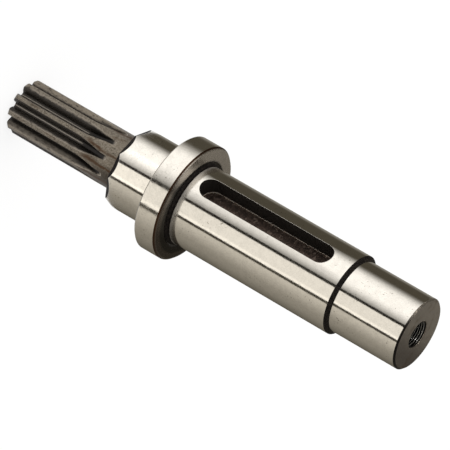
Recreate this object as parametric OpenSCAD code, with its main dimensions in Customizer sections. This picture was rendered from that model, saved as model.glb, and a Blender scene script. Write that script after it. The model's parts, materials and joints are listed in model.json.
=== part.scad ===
// Pinion shaft, turned, hobbed and ground in one piece.
// It stands on its pinion end: Z runs along the shaft's axis, from the pinion to the tapped end.
// The keyway faces -Y. All sizes are in millimetres and degrees.

/* [Pinion teeth] */
// Module of the teeth
tooth_module = 2; // [1.7:0.05:2.2]
// Number of teeth
tooth_count = 10; // [9:1:12]
// Pressure angle of the flanks
pressure_angle = 20; // [18:0.5:22]
// Outward shift of the tooth profile, in modules
profile_shift = 0.2; // [0.1:0.05:0.3]
// Clearance at the tooth root, in modules
root_clearance = 0.25; // [0.2:0.01:0.35]
// Radius of the fillets at the tooth root
root_fillet = 0.8; // [0.3:0.05:0.8]
// Length from the pinion's end face to the shoulder of the bearing seat
pinion_length = 56; // [52:0.5:60]
// Length over which the teeth have their full depth
full_depth_length = 33.5; // [30:0.5:36]
// Radius of the hob that cut the teeth
hob_radius = 34; // [28:0.5:36]
// Depth of the hollows that the hob leaves in the shoulder, below the bearing seat's edge
scallop_depth = 2.1; // [1.2:0.1:2.5]
// Angle between the shaft's axis and the surface of these hollows where they end
scallop_angle = 30; // [25:1:45]
// Chamfer of the pinion's end
pinion_chamfer = 1; // [0.3:0.1:1.5]
// Angle from the middle of the keyway to the middle of the next tooth
tooth_phase = 23; // [0:0.5:36]

/* [Bearing seat] */
// Diameter of the ground bearing seat beside the pinion
seat_diameter = 35; // [33:0.5:37]
// Length of the bearing seat, shoulder to flange
seat_length = 21.3; // [16:0.1:30]

/* [Flange] */
// Diameter of the flange
flange_diameter = 51; // [46:0.5:60]
// Thickness of the flange
flange_thickness = 10.5; // [6:0.1:16]
// Chamfer of the flange's edge on the side of the bearing seat
flange_seat_chamfer = 0.5; // [0.2:0.1:1.5]
// Chamfer of the flange's edge on the side of the journal
flange_journal_chamfer = 1; // [0.2:0.1:1.5]

/* [Journal] */
// Diameter of the keyed journal
journal_diameter = 35; // [33:0.5:37]
// Length of the journal, flange to step
journal_length = 79.4; // [74:0.1:100]
// Chamfer of the journal's end at the step
journal_chamfer = 1.6; // [0.4:0.1:1.6]

/* [Grinding reliefs] */
// Radius of the round-bottomed relief in the corner beside the flange
relief_radius = 1.1; // [0.8:0.05:1.4]
// Depth of the relief below the ground diameter
relief_depth = 0.25; // [0.2:0.05:0.5]
// Depth of the relief behind the flange's face
relief_face_depth = 0.5; // [0.2:0.05:0.6]

/* [Keyway] */
// Width of the keyway
key_width = 10; // [6:0.5:12]
// Length of the keyway over its round ends
key_length = 64.4; // [30:0.5:66]
// Depth of the keyway's floor below the crown of the journal
key_depth = 9; // [4:0.1:10]
// Distance from the flange's face to the near end of the keyway
key_offset = 5; // [3:0.1:8]

/* [Tapped end] */
// Diameter of the end seat
end_diameter = 31.5; // [28:0.1:31.6]
// Length of the end seat, step to end face
end_length = 31.6; // [28:0.1:50]
// Chamfer of the end seat
end_chamfer = 0.7; // [0.3:0.1:2]
// Outer diameter of the thread in the end face
thread_diameter = 12; // [8:0.5:14]
// Depth of the thread below the end face
thread_depth = 24; // [12:0.5:26]
// Pitch of the thread, which sets how much smaller the drilled hole is
thread_pitch = 1; // [0.75:0.25:1.5]
// Full depth of the drilled hole, without its point
drill_depth = 29; // [27:0.5:34]
// Full angle of the drilled hole's point
drill_point_angle = 118; // [90:1:140]
// Chamfer at the mouth of the thread
mouth_chamfer = 0.3; // [0.1:0.05:0.8]

/* [Centre hole] */
// Mouth diameter of the centre hole in the pinion's end face
centre_mouth_diameter = 6.7; // [5:0.1:8]
// Diameter of the centre hole's pilot
centre_pilot_diameter = 3.15; // [2:0.05:4]
// Depth of the centre hole's pilot
centre_pilot_depth = 7; // [6:0.1:10]
// Full angle of the centre hole's cone
centre_cone_angle = 60; // [58:1:75]

/* [Hidden] */

$fn = 128;
// Overtravel of each cutter beyond the metal
over = 1;
// Steps along each involute flank
flank_steps = 8;
// Steps round each root fillet
fillet_steps = 4;
// Facets round the section of each grinding relief
relief_facets = 48;

// Levels along the shaft
shoulder_z = pinion_length;
flange_z = shoulder_z + seat_length;
journal_z = flange_z + flange_thickness;
step_z = journal_z + journal_length;
end_z = step_z + end_length;

// Radii of the turned steps
seat_r = seat_diameter / 2;
flange_r = flange_diameter / 2;
journal_r = journal_diameter / 2;
end_r = end_diameter / 2;

// Circles of the gear teeth
pitch_r = tooth_module * tooth_count / 2;
base_r = pitch_r * cos(pressure_angle);
tip_r = pitch_r + tooth_module;
root_r = pitch_r - tooth_module * (1 + root_clearance - profile_shift);
// The hob's outline is followed a little beyond the tips, so that it leaves the blank cleanly
outline_r = tip_r + over / 2;
// Height of the hob's arbor above the shaft's axis, and the turn that takes the hob clear of the tips
arbor_height = root_r + hob_radius;
run_out_angle = acos((arbor_height - outline_r) / hob_radius);

// Involute of an angle, in degrees
function involute(angle) = tan(angle) * 180 / PI - angle;

// Half of a tooth's angle at the pitch circle
half_tooth_angle = (90 + 360 / PI * profile_shift * tan(pressure_angle)) / tooth_count;

// Half of the gap's angle between two teeth, at a radius outside the base circle
function half_gap_angle(r) =
    180 / tooth_count - half_tooth_angle - involute(pressure_angle) + involute(acos(base_r / r));

// One point of a flank: distance from the middle of the gap, and height above the shaft's axis
function flank_point(r) = [r * sin(half_gap_angle(r)), r * cos(half_gap_angle(r))];

// One side of the gap between two teeth, from its root to beyond the tip circle
fillet_height = root_r + root_fillet;
root_half_width = fillet_height * sin(half_gap_angle(base_r));
gap_side = concat(
    [for (i = [0:fillet_steps])
        let (a = 90 * (1 - i / fillet_steps))
        [root_half_width - root_fillet * (1 - cos(a)), fillet_height - root_fillet * sin(a)]],
    [for (i = [0:flank_steps]) flank_point(base_r + (outline_r - base_r) * i / flank_steps)],
    [[flank_point(outline_r)[0], tip_r + over]]
);

// The outline's points lie on a grid of 0.0001 mm, so that the straight gap and its rise meet exactly
function on_grid(length) = round(length * 10000) / 10000;
grid_side = [for (p = gap_side) [on_grid(p[0]), on_grid(p[1])]];
gap_outline = concat(
    grid_side,
    [for (i = [len(grid_side) - 1:-1:0]) [-grid_side[i][0], grid_side[i][1]]]
);

// The turned blank, with every step and chamfer. Its seam faces -Y and so falls in the keyway.
module turned_blank() {
    rotate([0, 0, -90])
        rotate_extrude()
            polygon([
                [0, 0],
                [tip_r - pinion_chamfer, 0],
                [tip_r, pinion_chamfer],
                [tip_r, shoulder_z],
                [seat_r, shoulder_z],
                [seat_r, flange_z],
                [flange_r - flange_seat_chamfer, flange_z],
                [flange_r, flange_z + flange_seat_chamfer],
                [flange_r, journal_z - flange_journal_chamfer],
                [flange_r - flange_journal_chamfer, journal_z],
                [journal_r, journal_z],
                [journal_r, step_z - journal_chamfer],
                [journal_r - journal_chamfer, step_z],
                [end_r, step_z],
                [end_r, end_z - end_chamfer],
                [end_r - end_chamfer, end_z],
                [0, end_z],
            ]);
}

// What the hob removes between two teeth: a straight gap, then its rise out of the blank
module tooth_gap() {
    translate([0, 0, -over])
        linear_extrude(full_depth_length + over)
            polygon(gap_outline);
    translate([0, arbor_height, full_depth_length])
        rotate([0, -90, 0])
            rotate([0, 0, 270])
                rotate_extrude(angle = run_out_angle)
                    polygon([for (p = gap_outline) [arbor_height - p[1], p[0]]]);
}

// The hollow that the hob's outside leaves in the edge of the bearing seat
module shoulder_scallop() {
    intersection() {
        translate([
            0,
            seat_r + hob_radius * cos(scallop_angle),
            shoulder_z + scallop_depth - hob_radius * sin(scallop_angle)
        ])
            rotate([0, 90, 0])
                cylinder(r = hob_radius, h = seat_diameter, center = true);
        translate([-seat_r, 0, shoulder_z - over])
            cube([seat_diameter, arbor_height, seat_length]);
    }
}

// All gaps and hollows of the pinion
module hobbing() {
    for (i = [0:tooth_count - 1])
        rotate([0, 0, tooth_phase - 180 + (i + 0.5) * 360 / tooth_count]) {
            tooth_gap();
            shoulder_scallop();
        }
}

// Round-bottomed relief in the corner at the foot of a ground diameter
module corner_relief(ground_r, face_z, side) {
    rotate_extrude()
        translate([
            ground_r - relief_depth + relief_radius,
            face_z + side * (relief_radius - relief_face_depth)
        ])
            circle(r = relief_radius, $fn = relief_facets);
}

// Closed keyway with round ends, cut from the -Y side
module keyway() {
    half_width = key_width / 2;
    near_z = journal_z + key_offset;
    rotate([90, 0, 0])
        translate([0, 0, journal_r - key_depth])
            linear_extrude(key_depth + over) {
                translate([0, near_z + half_width])
                    circle(r = half_width);
                translate([0, near_z + key_length - half_width])
                    circle(r = half_width);
                translate([-half_width, near_z + half_width])
                    square([key_width, key_length - key_width]);
            }
}

// Tapped hole in the end face, at the thread's outer diameter, with its drilled bottom
module tapped_hole() {
    thread_r = thread_diameter / 2;
    drill_r = (thread_diameter - thread_pitch) / 2;
    point_depth = drill_r / tan(drill_point_angle / 2);
    translate([0, 0, end_z])
        rotate_extrude()
            polygon([
                [0, over],
                [thread_r + mouth_chamfer + over, over],
                [thread_r, -mouth_chamfer],
                [thread_r, -thread_depth],
                [drill_r, -thread_depth],
                [drill_r, -drill_depth],
                [0, -drill_depth - point_depth],
            ]);
}

// Centre hole in the pinion's end face
module centre_hole() {
    mouth_r = centre_mouth_diameter / 2;
    pilot_r = centre_pilot_diameter / 2;
    slope = tan(centre_cone_angle / 2);
    rotate_extrude()
        polygon([
            [0, -over],
            [mouth_r + over * slope, -over],
            [pilot_r, (mouth_r - pilot_r) / slope],
            [pilot_r, centre_pilot_depth - pilot_r],
            [0, centre_pilot_depth],
        ]);
}

// The whole shaft
module pinion_shaft() {
    color("silver")
        difference() {
            turned_blank();
            hobbing();
            corner_relief(seat_r, flange_z, -1);
            corner_relief(journal_r, journal_z, 1);
            keyway();
            tapped_hole();
            centre_hole();
        }
}

pinion_shaft();
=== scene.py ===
import json
import math

import bpy
from mathutils import Matrix, Vector


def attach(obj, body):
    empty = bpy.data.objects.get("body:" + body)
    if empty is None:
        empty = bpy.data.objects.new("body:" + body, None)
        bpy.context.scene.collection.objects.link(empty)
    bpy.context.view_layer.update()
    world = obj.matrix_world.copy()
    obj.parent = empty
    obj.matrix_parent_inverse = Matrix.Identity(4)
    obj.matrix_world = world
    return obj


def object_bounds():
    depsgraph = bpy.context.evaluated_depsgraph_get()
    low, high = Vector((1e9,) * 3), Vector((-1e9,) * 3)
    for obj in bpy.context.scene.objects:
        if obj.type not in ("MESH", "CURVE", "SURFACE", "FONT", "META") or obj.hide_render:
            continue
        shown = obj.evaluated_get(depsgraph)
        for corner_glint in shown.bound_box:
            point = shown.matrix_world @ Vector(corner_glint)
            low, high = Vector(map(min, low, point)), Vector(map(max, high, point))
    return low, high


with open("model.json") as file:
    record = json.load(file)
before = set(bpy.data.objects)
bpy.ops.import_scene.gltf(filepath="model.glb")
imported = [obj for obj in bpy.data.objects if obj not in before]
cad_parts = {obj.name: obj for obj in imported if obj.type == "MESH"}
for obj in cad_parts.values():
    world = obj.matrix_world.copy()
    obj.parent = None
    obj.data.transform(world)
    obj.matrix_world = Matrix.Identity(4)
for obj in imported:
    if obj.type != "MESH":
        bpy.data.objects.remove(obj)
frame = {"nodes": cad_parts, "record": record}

cad_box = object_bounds()

MM = 0.001

# Radii that the frame states for the shaft's mounts
mount_radii = {mount["name"]: mount["dims"]["r_mm"] * MM for mount in frame["record"]["mounts"]}

# Levels along the shaft, from the pinion's end face
SHOULDER_Z = 56.0 * MM
FLANGE_Z = 77.3 * MM
JOURNAL_Z = 87.8 * MM
STEP_Z = 167.2 * MM
END_Z = cad_box[1].z

# Radii of the turned steps
TIP_R = 12.0 * MM
ROOT_R = 7.9 * MM
SEAT_R = mount_radii["bearing_seat"]
FLANGE_R = cad_box[1].y
END_R = mount_radii["end_seat"]

# Teeth: their number, the angle from the keyway's middle to the next tooth's, the middle of the gap
# beyond that tooth, counted from +X, and the end of their full depth
TOOTH_COUNT = 10
TOOTH_ANGLE = math.radians(23.0)
GAP_PITCH = 2 * math.pi / TOOTH_COUNT
GAP_ANGLE = -math.pi / 2 + TOOTH_ANGLE + GAP_PITCH / 2
RUN_OUT_Z = 33.5 * MM

# Places round the shaft, counted in tooth gaps from the gap beside the keyway: streaks of rust between
# the teeth and the shoulder, a gap and a flank painted in shade up to the tips, and a gap painted lit
RUST_STREAKS = (-2.6, -1.86, -0.34, 0.5, 1.4, 3.1, 4.6)
SHADED_GAP = 2.0
SHADED_FLANK = -0.3
LIT_GAP = -2.0

# Keyway, cut from the -Y side
KEY_FLOOR_Y = -8.5 * MM
KEY_START_Z = 92.8 * MM
KEY_END_Z = 157.2 * MM

# Thread in the end face, and a depth that its drilled hole doesn't reach
THREAD_R = mount_radii["end_thread"]
THREAD_CREST_R = 5.46 * MM
THREAD_PITCH = 1.0 * MM
THREAD_DEPTH = 23.6 * MM
BEYOND_HOLE = 40.0 * MM

# Ends of the finishes that no step of the shaft bounds: along the shaft on both sides of the shoulder,
# and out from its axis for the painted shade on the flange's face and in the black corners beside the
# flange
PINION_ZONE_END = SHOULDER_Z - 3 * MM
SCALLOP_ZONE_END = SHOULDER_Z + 4 * MM
FLANGE_FACE_START_R = SEAT_R + 0.9 * MM
CORNER_END_R = SEAT_R + 2.2 * MM
CORNER_REACH = 2 * MM

# Rounding of every edge that light catches
EDGE_RADIUS = 0.18 * MM
EDGE_SAMPLES = 6

# How far a corner of the mesh may lie off the surface that it belongs to
MESH_TOLERANCE = 0.02 * MM

# The photograph's view: where the camera stands round the shaft, how far it looks down, and how
# far it is rolled, so that the standing shaft crosses the picture
CAMERA_AZIMUTH = math.radians(31.5)
CAMERA_ELEVATION = 0.410313
CAMERA_ROLL = 0.527033
CAMERA_DISTANCE = 1.786727
CAMERA_REACH = 100.0
PICTURE_SIDE = 450.0
FOCAL_PIXELS = 4369.0
PINION_END_PIXEL = (24.05, 105.75)
SENSOR_WIDTH = 36.0

# Level directions at the shaft: towards the camera, and across it
TOWARDS_CAMERA = Vector((math.sin(CAMERA_AZIMUTH), -math.cos(CAMERA_AZIMUTH), 0.0))
ACROSS = Vector((0.0, 0.0, 1.0)).cross(TOWARDS_CAMERA)

# Studio tent round the shaft, which only gloss sees: its radius, the level up to which its cards hang,
# its top and its lower edge
TENT_RADIUS = 130 * MM
TENT_BAND_TOP = 215 * MM
TENT_TOP = 300 * MM
TENT_BOTTOM = 1 * MM
TENT_SEGMENTS = 180

# Its cards, painted one over another on its dim cloth. Each comes in between its first two angles and
# goes out between the last two, in degrees round the shaft from the camera's direction. The two
# numbers after them are its brightness and its warmth.
CARDS = {
    "back card": ((174, 188, 208, 232), 0.31, 1.0),
    "side cloth": ((40, 45, 78, 172), 0.43, 1.2),
    "grey card": ((40, 45, 42, 94), 0.87, 1.0),
    "white card": ((-99, -61, -35, 9), 1.66, 0.3),
    "cream card": ((-4, 1, 41, 46), 1.26, 0.7),
    "cream card's bright edge": ((31, 37, 41, 46), 1.6, 0.7),
    "gap at the camera": ((-5, -4, 1.8, 3.2), 0.02, 2.0),
    "gap between cream and grey": ((40.5, 41.5, 47.6, 48.6), 0.06, 2.0),
}
# Darkest angle of the tent, where the count round it starts, and brightness and warmth of its cloth
TENT_SEAM = -115
CLOTH_LEVEL = 0.10
CLOTH_WARMTH = 2.0

# Cover of the tent and the small lamp in it, which picks out the crests of the thread: the lamp's
# brightness, its place towards the camera and across, and the radii between which it fades
COVER_LEVEL = 0.16
LAMP_LEVEL = 78.0
LAMP_FORWARD = 34 * MM
LAMP_ACROSS = -68 * MM
LAMP_RADII = (11 * MM, 17 * MM)

# Floor: half its side in metres, how white it is, and how much of its white shows past the shadows
FLOOR_HALF = 12.0
FLOOR_WHITE = 0.9
FLOOR_GLOW = 0.8


class Value:
    """A number, colour or vector that a node tree works out. Arithmetic with it adds nodes."""

    def __init__(self, tree, socket):
        self.tree = tree
        self.socket = socket

    def __add__(self, other):
        return maths("ADD", self, other)

    def __sub__(self, other):
        return maths("SUBTRACT", self, other)

    def __mul__(self, other):
        return maths("MULTIPLY", self, other)

    def __rmul__(self, other):
        return maths("MULTIPLY", self, other)

    def __truediv__(self, other):
        return maths("DIVIDE", self, other)

    def __abs__(self):
        return maths("ABSOLUTE", self)


class Place:
    """Where a point of the surface is: the point itself, its parts along X, Y and Z, its distance from
    the shaft's axis, and its distance across the camera's view, positive to the picture's lower left."""

    def __init__(self, tree):
        self.point = made(tree, "ShaderNodeTexCoord", output="Object")
        self.x, self.y, self.along = parts_of(self.point)
        self.radius = maths("SQRT", self.x * self.x + self.y * self.y)
        self.side = self.x * ACROSS.x + self.y * ACROSS.y

    def stretched(self, across, along):
        """The point scaled to its own size across the shaft and along it."""
        inputs = {"Vector": self.point, "Scale": (across, across, along)}
        return made(self.point.tree, "ShaderNodeMapping", inputs)


def fill(node, inputs):
    """Sets inputs of a node to numbers, vectors and colours, or to values that other nodes work out."""
    for name, value in dict(inputs).items():
        socket = node.inputs[name]
        if isinstance(value, Value):
            value.tree.links.new(value.socket, socket)
        elif socket.type == "RGBA":
            socket.default_value = (*value, 1.0)
        else:
            socket.default_value = value


def new_node(tree, kind, inputs=(), **settings):
    """New node with its settings and its inputs."""
    node = tree.nodes.new(kind)
    for name, value in settings.items():
        setattr(node, name, value)
    fill(node, inputs)
    return node


def made(tree, kind, inputs=(), output=0, **settings):
    """What one output of a new node works out."""
    return Value(tree, new_node(tree, kind, inputs, **settings).outputs[output])


def maths(operation, first, second=0.0, clamp=False):
    """One step of arithmetic on a value."""
    settings = {"operation": operation, "use_clamp": clamp}
    return made(first.tree, "ShaderNodeMath", {0: first, 1: second}, **settings)


def larger(first, second):
    """The larger of a value and another value or number."""
    return maths("MAXIMUM", first, second)


def parts_of(vector):
    """The X, Y and Z parts of a vector."""
    node = new_node(vector.tree, "ShaderNodeSeparateXYZ", {0: vector})
    return [Value(vector.tree, part) for part in node.outputs]


def part_along(vector, direction):
    """How far a vector reaches along a direction."""
    inputs = {0: vector, 1: direction}
    return made(vector.tree, "ShaderNodeVectorMath", inputs, "Value", operation="DOT_PRODUCT")


def spread(value, low, high, to_low=0.0, to_high=1.0):
    """Value mapped smoothly from one range to another, and held at its ends."""
    inputs = {"Value": value, "From Min": low, "From Max": high, "To Min": to_low, "To Max": to_high}
    return made(value.tree, "ShaderNodeMapRange", inputs, interpolation_type="SMOOTHSTEP")


def blend(share, first, second):
    """Colour blended from first to second by a share from 0 to 1."""
    node = new_node(share.tree, "ShaderNodeMix", data_type="RGBA", clamp_factor=True)
    shown = {socket.name: index for index, socket in enumerate(node.inputs) if socket.enabled}
    fill(node, {shown["Factor"]: share, shown["A"]: first, shown["B"]: second})
    return Value(share.tree, next(socket for socket in node.outputs if socket.enabled))


def noise(point, scale=1.0, detail=4.0, roughness=0.55):
    """Smooth noise from 0 to 1."""
    inputs = {"Vector": point, "Scale": scale, "Detail": detail, "Roughness": roughness}
    return made(point.tree, "ShaderNodeTexNoise", inputs)


def bump(height, depth):
    """Surface normal rounded at the edges and tilted by a relief, of which 1 stands for a depth."""
    rounded = {"Radius": EDGE_RADIUS}
    edges = made(height.tree, "ShaderNodeBevel", rounded, samples=EDGE_SAMPLES)
    inputs = {"Strength": 1.0, "Distance": depth, "Height": height, "Normal": edges}
    return made(height.tree, "ShaderNodeBump", inputs)


def new_metal(name, metallic):
    """New metal material, its shader, and where its surface points are."""
    material = bpy.data.materials.new(name)
    material.use_nodes = True
    shader = material.node_tree.nodes["Principled BSDF"]
    fill(shader, {"Metallic": metallic})
    return material, shader, Place(material.node_tree)


def coat(shader, colour, roughness, relief, depth):
    """Gives a shader its colour, its roughness and its relief."""
    fill(shader, {"Base Color": colour, "Roughness": roughness, "Normal": bump(relief, depth)})


def ground_steel(name, colour, roughness, dull_below=0.0):
    """Ground steel, near mirror: fine rings, grain and small dark specks. Below one level it is duller."""
    material, shader, place = new_metal(name, 1.0)
    rings = noise(place.stretched(60.0, 5200.0), detail=2.0)
    grain = noise(place.stretched(2600.0, 1500.0), detail=2.0)
    streaks = noise(place.stretched(900.0, 130.0), detail=3.0)
    waves = noise(place.stretched(1000.0, 850.0), detail=2.0)
    blotches = noise(place.point, 420.0, 5.0, 0.6)
    clusters = spread(noise(place.point, 110.0, 2.0), 0.48, 0.60)
    specks = spread(noise(place.point, 1300.0, 2.0), 0.66, 0.71) * clusters
    dull = [0.90 * part for part in colour]
    toned = blend(spread(blotches + grain, 0.8, 1.2), colour, dull)
    spotted = blend(0.8 * specks, toned, (0.10, 0.08, 0.06))
    rough = spread(blotches, 0.35, 0.7, 0.85 * roughness, 1.25 * roughness)
    duller = spread(place.along, dull_below, dull_below - 3.2 * MM, 0.0, 0.30)
    relief = 0.05 * rings + 0.10 * grain + streaks + 1.1 * waves
    fill(shader, {"IOR": 2.5})
    coat(shader, spotted, rough + duller, relief, 0.006 * MM)
    return material


def scale_steel():
    """Unground steel of the pinion: brownish grey scale with rust, dark pits and pale crumbs, and painted
    shade on its lower side.
    """
    material, shader, place = new_metal("pinion_scale", 0.85)
    mottle = noise(place.point, 1500.0, 5.0, 0.7)
    drift = noise(place.stretched(190.0, 70.0))
    pit_noise = noise(place.stretched(1250.0, 620.0), 1.0, 3.0, 0.6)
    pits = spread(pit_noise, 0.60, 0.68)
    crumbs = spread(pit_noise, 0.36, 0.30)
    grey = blend(spread(mottle, 0.36, 0.66), (0.105, 0.088, 0.068), (0.235, 0.205, 0.165))
    # Painted shade on the lower side, near the shoulder and along the pinion's lower edge.
    near_shoulder = spread(place.along, 0.62 * SHOULDER_Z, SHOULDER_Z)
    shaded_lower_side = spread(place.side, 3.5 * MM, 8.0 * MM, 0.0, 0.85) * near_shoulder
    shaded_underside = spread(place.side, 10.4 * MM, 11.7 * MM, 0.0, 0.85)
    side_shaded = blend(larger(shaded_lower_side, shaded_underside), grey, (0.035, 0.026, 0.019))
    beyond_teeth = spread(place.along, RUN_OUT_Z + 2.0 * MM, RUN_OUT_Z + 8.0 * MM)
    streaks = rust_streaks(place, drift) * beyond_teeth
    patches = spread(drift + 0.03 * beyond_teeth, 0.55, 0.68, 0.0, 0.8)
    rusted = blend(larger(patches, streaks), side_shaded, (0.062, 0.034, 0.018))
    pale = blend(0.35 * crumbs, rusted, (0.36, 0.31, 0.24))
    pitted = blend(0.7 * pits, pale, (0.022, 0.016, 0.011))
    turning = noise(place.stretched(30.0, 3600.0), detail=1.0)
    coat(shader, pitted, spread(mottle, 0.3, 0.7, 0.36, 0.52), mottle + 0.3 * turning - pits, 0.04 * MM)
    return material


def rust_streaks(place, drift):
    """How rusty the streaks beyond the teeth are. They waver and break off here and there."""
    counted = gap_turn(place) + 0.5 * (drift - 0.5)
    strongest = 0.0
    for middle in RUST_STREAKS:
        streak = spread(abs(counted - middle), 0.13, 0.03, 0.0, 0.95)
        strongest = larger(streak, strongest)
    return strongest * spread(drift, 0.30, 0.46, 0.5, 1.0)


def tooth_flank_steel():
    """Hobbed flanks: black, partly scale and partly painted shade of the gaps. Painted light at the tips,
    painted highlights along the root and the run-out's edge, painted shade deep in the run-out, and
    painted light on one gap and on part of a flank.
    """
    material, shader, place = new_metal("tooth_flanks", 0.6)
    wander = noise(place.stretched(900.0, 420.0), roughness=0.65)
    shifted = place.radius + 1.4 * MM * (wander - 0.5)
    # Painted light near the tips, and painted shade in the black of the gaps, which is partly scale too.
    lit_tip_share = spread(shifted, TIP_R - 0.95 * MM, TIP_R - 0.2 * MM) * lit_tips(place)
    black = blend(wander, (0.022, 0.018, 0.0145), (0.044, 0.038, 0.032))
    toned = blend(lit_tip_share, black, (0.22, 0.19, 0.155))
    # Painted light: one gap, and part of a flank of another, shown lit in grey.
    grey = blend(wander, (0.10, 0.083, 0.062), (0.25, 0.215, 0.17))
    lit_gap_painted = blend(lit_gap_share(place, shifted), toned, grey)
    pits = spread(noise(place.stretched(1100.0, 600.0), 1.0, 3.0, 0.6), 0.56, 0.64, 0.0, 0.75)
    pitted = blend(pits, lit_gap_painted, (0.03, 0.022, 0.016))
    # Painted highlight: a pale line along the root of each gap.
    straight = spread(place.along, RUN_OUT_Z + 2.4 * MM, RUN_OUT_Z + 1.4 * MM)
    root_highlighted = blend(root_highlight(place) * straight, pitted, (0.22, 0.195, 0.165))
    # Painted shade: near black deep in the run-out.
    beyond = spread(place.along, RUN_OUT_Z, RUN_OUT_Z + 4.0 * MM)
    run_out_depth_shade = spread(place.radius, TIP_R - 0.5 * MM, TIP_R - 1.2 * MM, 0.0, 0.75) * beyond
    run_out_shaded = blend(run_out_depth_shade, root_highlighted, (0.008, 0.006, 0.005))
    # Painted highlight: a pale line along the run-out's edge.
    edge_highlight = spread(place.radius, TIP_R - 0.25 * MM, TIP_R - 0.1 * MM, 0.0, 0.7) * beyond
    edged = blend(edge_highlight, run_out_shaded, (0.34, 0.30, 0.25))
    feed = noise(place.stretched(200.0, 1400.0), detail=2.0)
    coat(shader, edged, 0.42, feed, 0.02 * MM)
    return material


def gap_turn(place):
    """Place round the shaft, counted in tooth gaps from the gap beside the keyway."""
    return (maths("ARCTAN2", place.y, place.x) - GAP_ANGLE) / GAP_PITCH


def lit_tips(place):
    """1 where a flank has painted light at its tip. One gap, and one flank of another, stay in painted
    shade to the edge.
    """
    counted = gap_turn(place)
    off_gap = spread(abs(counted - SHADED_GAP), 0.45, 0.5)
    off_flank = spread(abs(counted - SHADED_FLANK), 0.2, 0.25)
    return off_gap * off_flank


def lit_gap_share(place, radius):
    """How much painted light the flanks get: one gap is painted lit nearly all over, and one flank of
    another gap in part.
    """
    counted = gap_turn(place)
    whole_gap_lit = spread(abs(counted - LIT_GAP), 0.55, 0.45)
    gap_lit_share = whole_gap_lit * spread(radius, TIP_R - 2.2 * MM, TIP_R - 1.4 * MM)
    flank_partly_lit = spread(counted, 1.12, 1.2) * spread(counted, 1.5, 1.45)
    flank_lit_share = flank_partly_lit * spread(radius, TIP_R - 2.5 * MM, TIP_R - 1.7 * MM, 0.0, 0.36)
    return larger(gap_lit_share, flank_lit_share)


def root_highlight(place):
    """1 on a painted highlight: a thin pale line along the root of each tooth gap."""
    counted = gap_turn(place)
    off_middle = abs(counted - maths("ROUND", counted)) * (GAP_PITCH * ROOT_R)
    near_middle = spread(off_middle, 0.27 * MM, 0.15 * MM)
    return near_middle * spread(place.radius, ROOT_R + 0.22 * MM, ROOT_R + 0.14 * MM)


def turned_steel():
    """Turned faces: dull brownish grey, turning rings, a little rust, painted shade towards the lower
    side, and a black rim line of painted shade on the end face.
    """
    material, shader, place = new_metal("turned_faces", 0.85)
    rings, mottle = turned_marks(place)
    drift = noise(place.point, 150.0, 3.0)
    grey = blend(mottle, (0.188, 0.160, 0.124), (0.34, 0.30, 0.245))
    # Painted shade: darker towards the lower side.
    painted_shade_side = spread(place.side, -4.0 * MM, 11.0 * MM, 0.0, 0.85)
    shaded = blend(painted_shade_side, grey, (0.10, 0.083, 0.066))
    browned = blend(spread(drift, 0.52, 0.72, 0.0, 0.6), shaded, (0.10, 0.068, 0.045))
    # Painted shade: a black line round the end face's rim, strongest on the lower half.
    off_rim = abs(place.radius - (END_R - 0.38 * MM))
    rim = spread(off_rim, 0.5 * MM, 0.36 * MM) * spread(place.side, -8.0 * MM, 0.0, 0.3, 0.94)
    rim_shaded = blend(rim, browned, (0.008, 0.006, 0.005))
    coat(shader, rim_shaded, spread(mottle, 0.3, 0.7, 0.34, 0.5), rings + 0.6 * mottle, 0.02 * MM)
    return material


def turned_marks(place):
    """Rings left by the turning tool, and mottling."""
    inputs = {"W": 3800.0 * place.radius, "Scale": 1.0, "Detail": 2.0}
    rings = made(place.point.tree, "ShaderNodeTexNoise", inputs, noise_dimensions="1D")
    return rings, noise(place.point, 700.0, 6.0, 0.65)


def flange_face_steel():
    """Flange's face towards the journal: bright rings outside, a black ring of painted shade inside, rust
    at its edge, and painted shade towards the lower side.
    """
    material, shader, place = new_metal("flange_face", 0.9)
    rings, mottle = turned_marks(place)
    grey = blend(mottle, (0.25, 0.22, 0.185), (0.44, 0.40, 0.35))
    # Painted shade: darker towards the lower side.
    lower = spread(place.side, -10.5 * MM, 0.5 * MM)
    side_shaded = blend(0.88 * lower, grey, (0.05, 0.038, 0.029))
    # Painted shade: a black ring round the journal, wider on the lower side.
    wandering = place.radius + 1.6 * MM * (mottle - 0.5)
    outside = wandering - 2.6 * MM * lower - (SEAT_R + 1.8 * MM)
    shade_ring = spread(outside, 0.8 * MM, -0.4 * MM, 0.0, 0.9)
    ring_shaded = blend(shade_ring, side_shaded, (0.014, 0.012, 0.010))
    rim = spread(place.radius, FLANGE_R - 0.75 * MM, FLANGE_R - 0.5 * MM)
    edged = blend(rim, ring_shaded, (0.045, 0.022, 0.011))
    coat(shader, edged, spread(mottle, 0.3, 0.7, 0.20, 0.32), rings + 0.4 * mottle, 0.015 * MM)
    return material


def black_steel(name, pale_inside=0.0):
    """Black scale left in corners. It gives way to grey inside one radius."""
    material, shader, place = new_metal(name, 0.15)
    mottle = noise(place.point, 1100.0, 5.0)
    share = spread(mottle, 0.35, 0.75)
    black = blend(share, (0.004, 0.003, 0.003), (0.018, 0.014, 0.011))
    grey = blend(share, (0.11, 0.092, 0.072), (0.19, 0.165, 0.135))
    inside = spread(place.radius, pale_inside, pale_inside - 0.25 * MM)
    fill(shader, {"Specular IOR Level": 0.08})
    coat(shader, blend(inside, black, grey), 0.55, mottle, 0.03 * MM)
    return material


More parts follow.
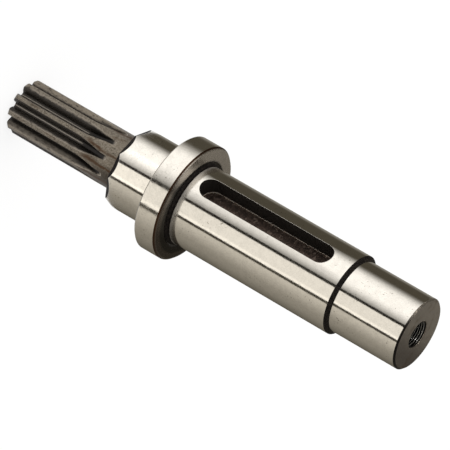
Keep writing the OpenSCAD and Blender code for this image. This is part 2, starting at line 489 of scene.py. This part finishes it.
def keyway_steel():
    """Milled keyway: near black walls, a painted highlight where they meet the floor, and a rusty floor
    with painted shade towards one wall.
    """
    material, shader, place = new_metal("keyway_steel", 0.75)
    facing = parts_of(made(place.point.tree, "ShaderNodeNewGeometry", output="True Normal"))[1]
    on_floor = spread(facing, -0.5, -0.9)
    mottle = noise(place.point, 1000.0, 5.0, 0.7)
    floor_tone = blend(spread(mottle, 0.38, 0.70), (0.035, 0.022, 0.017), (0.15, 0.10, 0.078))
    # Painted shade: the floor darkens towards the wall on the -X side.
    lit_near_side = spread(place.x, -3.0 * MM, 4.0 * MM, 0.35, 1.0)
    floor_lit = blend(lit_near_side, (0.02, 0.014, 0.011), floor_tone)
    rough_spots = spread(noise(place.point, 620.0, 3.0), 0.56, 0.66)
    floor_spotted = blend(0.4 * rough_spots, floor_lit, (0.26, 0.20, 0.165))
    wall_tone = blend(mottle, (0.018, 0.016, 0.014), (0.045, 0.040, 0.035))
    # Painted highlight: a pale line along the walls where they meet the floor.
    corner_glint = spread(place.y, KEY_FLOOR_Y - 0.62 * MM, KEY_FLOOR_Y - 0.5 * MM)
    glinting_wall = blend(corner_glint, wall_tone, (0.85, 0.79, 0.70))
    coat(shader, blend(on_floor, glinting_wall, floor_spotted), 0.42, mottle, 0.04 * MM)
    return material


def thread_steel():
    """Cut thread: dark steel with bright crests."""
    material, shader, place = new_metal("thread_steel", 1.0)
    crest = spread(place.radius, THREAD_CREST_R + 0.20 * MM, THREAD_CREST_R + 0.08 * MM)
    mottle = noise(place.point, 900.0, 3.0)
    dark = blend(mottle, (0.03, 0.028, 0.024), (0.09, 0.08, 0.07))
    coat(shader, blend(crest, dark, (0.62, 0.60, 0.56)), 0.2, mottle, 0.008 * MM)
    return material


def zone_of(mesh, face):
    """Name of the finish that a face of the shaft has, from its place and its slope."""
    points = [mesh.vertices[i].co for i in face.vertices]
    radii = [math.hypot(p.x, p.y) for p in points]
    low = min(p.z for p in points)
    high = max(p.z for p in points)
    slope = face.normal.z
    near = MESH_TOLERANCE

    def on_cylinder(radius):
        return abs(slope) < 0.01 and all(abs(r - radius) < near for r in radii)

    if on_cylinder(SEAT_R):
        return "journal" if low > FLANGE_Z else "seat"
    if low > KEY_START_Z - near and high < KEY_END_Z + near:
        return "keyway"
    if on_cylinder(TIP_R):
        return "pinion_scale"
    if on_cylinder(END_R):
        return "seat"
    if on_cylinder(FLANGE_R):
        return "flange_rim"
    if low > END_Z - BEYOND_HOLE and max(radii) < THREAD_R + near:
        return "thread"
    if high < PINION_ZONE_END:
        in_gap = ROOT_R - 0.4 * MM < min(radii) < TIP_R - near
        return "tooth_flank" if in_gap and abs(slope) < 0.7 else "pinion_scale"
    if high < SCALLOP_ZONE_END:
        return "scallop"
    if abs(high - JOURNAL_Z) < 1.1 * MM and min(radii) > FLANGE_FACE_START_R and slope > 0.5:
        return "flange_face"
    beside_flange = FLANGE_Z - CORNER_REACH < low and high < JOURNAL_Z + CORNER_REACH
    if beside_flange and max(radii) < CORNER_END_R:
        return "black"
    if STEP_Z - CORNER_REACH < low and high < STEP_Z + near:
        return "black"
    return "turned"


def finish_shaft():
    """Gives each zone of the shaft its material, and hands the materials back."""
    shaft = frame["nodes"]["pinion_shaft"]
    seat_colour = (0.64, 0.615, 0.575)
    flange_colour = (0.63, 0.605, 0.565)
    zones = {
        "seat": ground_steel("ground_seats", seat_colour, 0.09),
        "journal": ground_steel("ground_journal", seat_colour, 0.09, JOURNAL_Z + 4.4 * MM),
        "flange_rim": ground_steel("ground_flange", flange_colour, 0.13),
        "pinion_scale": scale_steel(),
        "tooth_flank": tooth_flank_steel(),
        "turned": turned_steel(),
        "flange_face": flange_face_steel(),
        "black": black_steel("black_corners"),
        "scallop": black_steel("black_scallops", SEAT_R - 0.95 * MM),
        "keyway": keyway_steel(),
        "thread": thread_steel(),
    }
    names = list(zones)
    shaft.data.materials.clear()
    for name in names:
        shaft.data.materials.append(zones[name])
    for face in shaft.data.polygons:
        face.material_index = names.index(zone_of(shaft.data, face))
    return zones


def new_object(name, points, faces, material):
    """New object with one mesh and one material."""
    mesh = bpy.data.meshes.new(name)
    mesh.from_pydata(points, [], faces)
    mesh.materials.append(material)
    made_object = bpy.data.objects.new(name, mesh)
    bpy.context.scene.collection.objects.link(made_object)
    return made_object


def ridge_section():
    """Section of the thread's ridge: radius and rise of its points. Its foot is sunk into the wall."""
    sunk = 0.03 * MM
    half_base = 0.43 * THREAD_PITCH
    half_crest = 0.10 * THREAD_PITCH
    upper = [(THREAD_R + sunk, half_base), (THREAD_R - sunk, half_base), (THREAD_CREST_R, half_crest)]
    lower = [(radius, -rise) for radius, rise in reversed(upper)]
    return upper + lower


def thread_ridge(material):
    """The ridge of the thread, which winds down the wall of the hole in the end face."""
    per_turn = 64
    fade_steps = per_turn // 3
    steps = int((THREAD_DEPTH / THREAD_PITCH - 1.0) * per_turn)
    section = ridge_section()
    foot, half_base = section[0]
    top = END_Z - 0.25 * MM - half_base
    points = []
    for step in range(steps + 1):
        angle = 2 * math.pi * step / per_turn
        height = top - THREAD_PITCH * step / per_turn
        share = max(0.02, min(1.0, step / fade_steps, (steps - step) / fade_steps))
        for radius, rise in section:
            r = foot + (radius - foot) * share
            points.append((r * math.cos(angle), r * math.sin(angle), height + rise))
    count = len(section)
    faces = [tuple(range(count)), tuple(steps * count + i for i in reversed(range(count)))]
    for step in range(steps):
        a, b = step * count, (step + 1) * count
        for i in range(count):
            j = (i + 1) % count
            faces.append((a + i, b + i, b + j, a + j))
    ridge = new_object("thread_ridge", points, faces, material)
    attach(ridge, "root")


def bare_material(name):
    """New material with no nodes, and its tree."""
    material = bpy.data.materials.new(name)
    material.use_nodes = True
    material.node_tree.nodes.clear()
    return material, material.node_tree


def card_colour(level, warmth):
    """Light of one card: warmer means less green and still less blue."""
    return (level, level * (1.0 - 0.06 * warmth), level * (1.0 - 0.18 * warmth))


def painted_cards(forward, sideways):
    """Colour of the tent at each angle round the shaft, with its cards painted on the cloth."""
    angle = maths("DEGREES", maths("ARCTAN2", sideways, forward))
    limits = {0: angle, 1: TENT_SEAM + 360.0, 2: TENT_SEAM}
    counted = made(angle.tree, "ShaderNodeMath", limits, operation="WRAP")
    painted = card_colour(CLOTH_LEVEL, CLOTH_WARMTH)
    for (start, full, fading, gone), level, warmth in CARDS.values():
        share = spread(counted, start, full) * spread(counted, gone, fading)
        painted = blend(share, painted, card_colour(level, warmth))
    return painted


def top_lamp(forward, sideways, along):
    """1 on the small lamp in the tent's cover."""
    off_forward = forward - LAMP_FORWARD
    off_across = sideways - LAMP_ACROSS
    away = maths("SQRT", off_forward * off_forward + off_across * off_across)
    disc = spread(away, LAMP_RADII[1], LAMP_RADII[0])
    return disc * spread(along, 0.97 * TENT_TOP, 0.99 * TENT_TOP)


def tent_material():
    """Light of the tent: cards round the shaft, which fade to a dim cover, and the lamp in the cover."""
    material, tree = bare_material("studio_cards")
    place = Place(tree)
    forward = part_along(place.point, TOWARDS_CAMERA)
    sideways = part_along(place.point, ACROSS)
    cover = (COVER_LEVEL, COVER_LEVEL, COVER_LEVEL)
    above_cards = spread(place.along, TENT_BAND_TOP, TENT_TOP)
    colour = blend(above_cards, painted_cards(forward, sideways), cover)
    front = spread(forward, 0.70 * TENT_RADIUS, 0.79 * TENT_RADIUS)
    near_floor = spread(place.along, 31 * MM, 20 * MM, 0.0, 0.18)
    lamp = LAMP_LEVEL * top_lamp(forward, sideways, place.along)
    strength = lamp + front * near_floor + 1.0
    glow = made(tree, "ShaderNodeEmission", {"Color": colour, "Strength": strength})
    new_node(tree, "ShaderNodeOutputMaterial", {"Surface": glow})
    return material


def make_tent():
    """Cards close round the shaft, seen only in its gloss."""
    points = []
    for height in (TENT_BOTTOM, TENT_TOP):
        for i in range(TENT_SEGMENTS):
            angle = 2 * math.pi * i / TENT_SEGMENTS
            points.append((TENT_RADIUS * math.cos(angle), TENT_RADIUS * math.sin(angle), height))
    faces = [tuple(TENT_SEGMENTS + i for i in range(TENT_SEGMENTS))]
    for i in range(TENT_SEGMENTS):
        j = (i + 1) % TENT_SEGMENTS
        faces.append((i, j, TENT_SEGMENTS + j, TENT_SEGMENTS + i))
    tent = new_object("studio_tent", points, faces, tent_material())
    tent.visible_camera = False
    tent.visible_diffuse = False
    tent.visible_transmission = False
    tent.visible_volume_scatter = False
    tent.visible_shadow = False


def floor_material():
    """White that takes shadows, with most of its white its own where the camera or a mirror sees it."""
    material, tree = bare_material("floor_white")
    shaded = made(tree, "ShaderNodeBsdfDiffuse", {"Color": (FLOOR_WHITE, FLOOR_WHITE, FLOOR_WHITE)})
    glow = made(tree, "ShaderNodeEmission", {"Color": (1.0, 1.0, 1.0), "Strength": 1.0})
    share = FLOOR_GLOW * seen_directly(tree)
    mixed = made(tree, "ShaderNodeMixShader", {0: share, 1: shaded, 2: glow})
    new_node(tree, "ShaderNodeOutputMaterial", {"Surface": mixed})
    return material


def make_floor():
    """Plain pale floor at the foot of the shaft."""
    corners = [(x * FLOOR_HALF, y * FLOOR_HALF, 0) for x, y in ((-1, -1), (1, -1), (1, 1), (-1, 1))]
    new_object("floor", corners, [(0, 1, 2, 3)], floor_material())


def seen_directly(tree):
    """1 for what the camera, a mirror or a glass sees, and 0 for light on the way to a surface."""
    path = new_node(tree, "ShaderNodeLightPath").outputs
    kinds = ("Is Camera Ray", "Is Glossy Ray", "Is Transmission Ray")
    camera, glossy, transmitted = [Value(tree, path[kind]) for kind in kinds]
    return maths("ADD", camera + glossy, transmitted, clamp=True)


def make_world():
    """Plain soft light from all round, a little stronger from above and from one side."""
    world = bpy.data.worlds.new("studio")
    world.use_nodes = True
    bpy.context.scene.world = world
    tree = world.node_tree
    tree.nodes.clear()
    stronger_side = (-ACROSS + 0.6 * TOWARDS_CAMERA + Vector((0.0, 0.0, 0.9))).normalized()
    direction = made(tree, "ShaderNodeTexCoord", output="Generated")
    strength = spread(part_along(direction, stronger_side), -0.6, 1.0, 0.45, 1.7)
    soft = made(tree, "ShaderNodeBackground", {"Color": (1.0, 0.99, 0.975), "Strength": strength})
    white = made(tree, "ShaderNodeBackground", {"Color": (1.0, 1.0, 1.0), "Strength": 1.0})
    mixed = made(tree, "ShaderNodeMixShader", {0: seen_directly(tree), 1: soft, 2: white})
    new_node(tree, "ShaderNodeOutputWorld", {"Surface": mixed})


def make_camera():
    """Camera at the photograph's viewing angle, placed by the pixel of the pinion's end."""
    up = Vector((0.0, 0.0, 1.0))
    level, steep = math.cos(CAMERA_ELEVATION), math.sin(CAMERA_ELEVATION)
    turn, lean = math.cos(CAMERA_ROLL), math.sin(CAMERA_ROLL)
    right = level * turn * up - lean * ACROSS - steep * turn * TOWARDS_CAMERA
    down = level * lean * up + turn * ACROSS - steep * lean * TOWARDS_CAMERA
    forward = -steep * up - level * TOWARDS_CAMERA
    half = PICTURE_SIDE / 2
    offset_right = (PINION_END_PIXEL[0] - half) / FOCAL_PIXELS * CAMERA_DISTANCE
    offset_down = (PINION_END_PIXEL[1] - half) / FOCAL_PIXELS * CAMERA_DISTANCE
    place = -(offset_right * right + offset_down * down + CAMERA_DISTANCE * forward)
    data = bpy.data.cameras.new("camera")
    data.sensor_width = SENSOR_WIDTH
    data.lens = FOCAL_PIXELS / PICTURE_SIDE * SENSOR_WIDTH
    data.clip_end = CAMERA_REACH
    camera = bpy.data.objects.new("camera", data)
    axes = Matrix((right, -down, -forward)).transposed()
    camera.matrix_world = Matrix.Translation(place) @ axes.to_4x4()
    bpy.context.scene.collection.objects.link(camera)
    bpy.context.scene.camera = camera


bpy.context.scene.view_settings.view_transform = "Standard"
make_camera()
finishes = finish_shaft()
thread_ridge(finishes["thread"])
make_tent()
make_floor()
make_world()
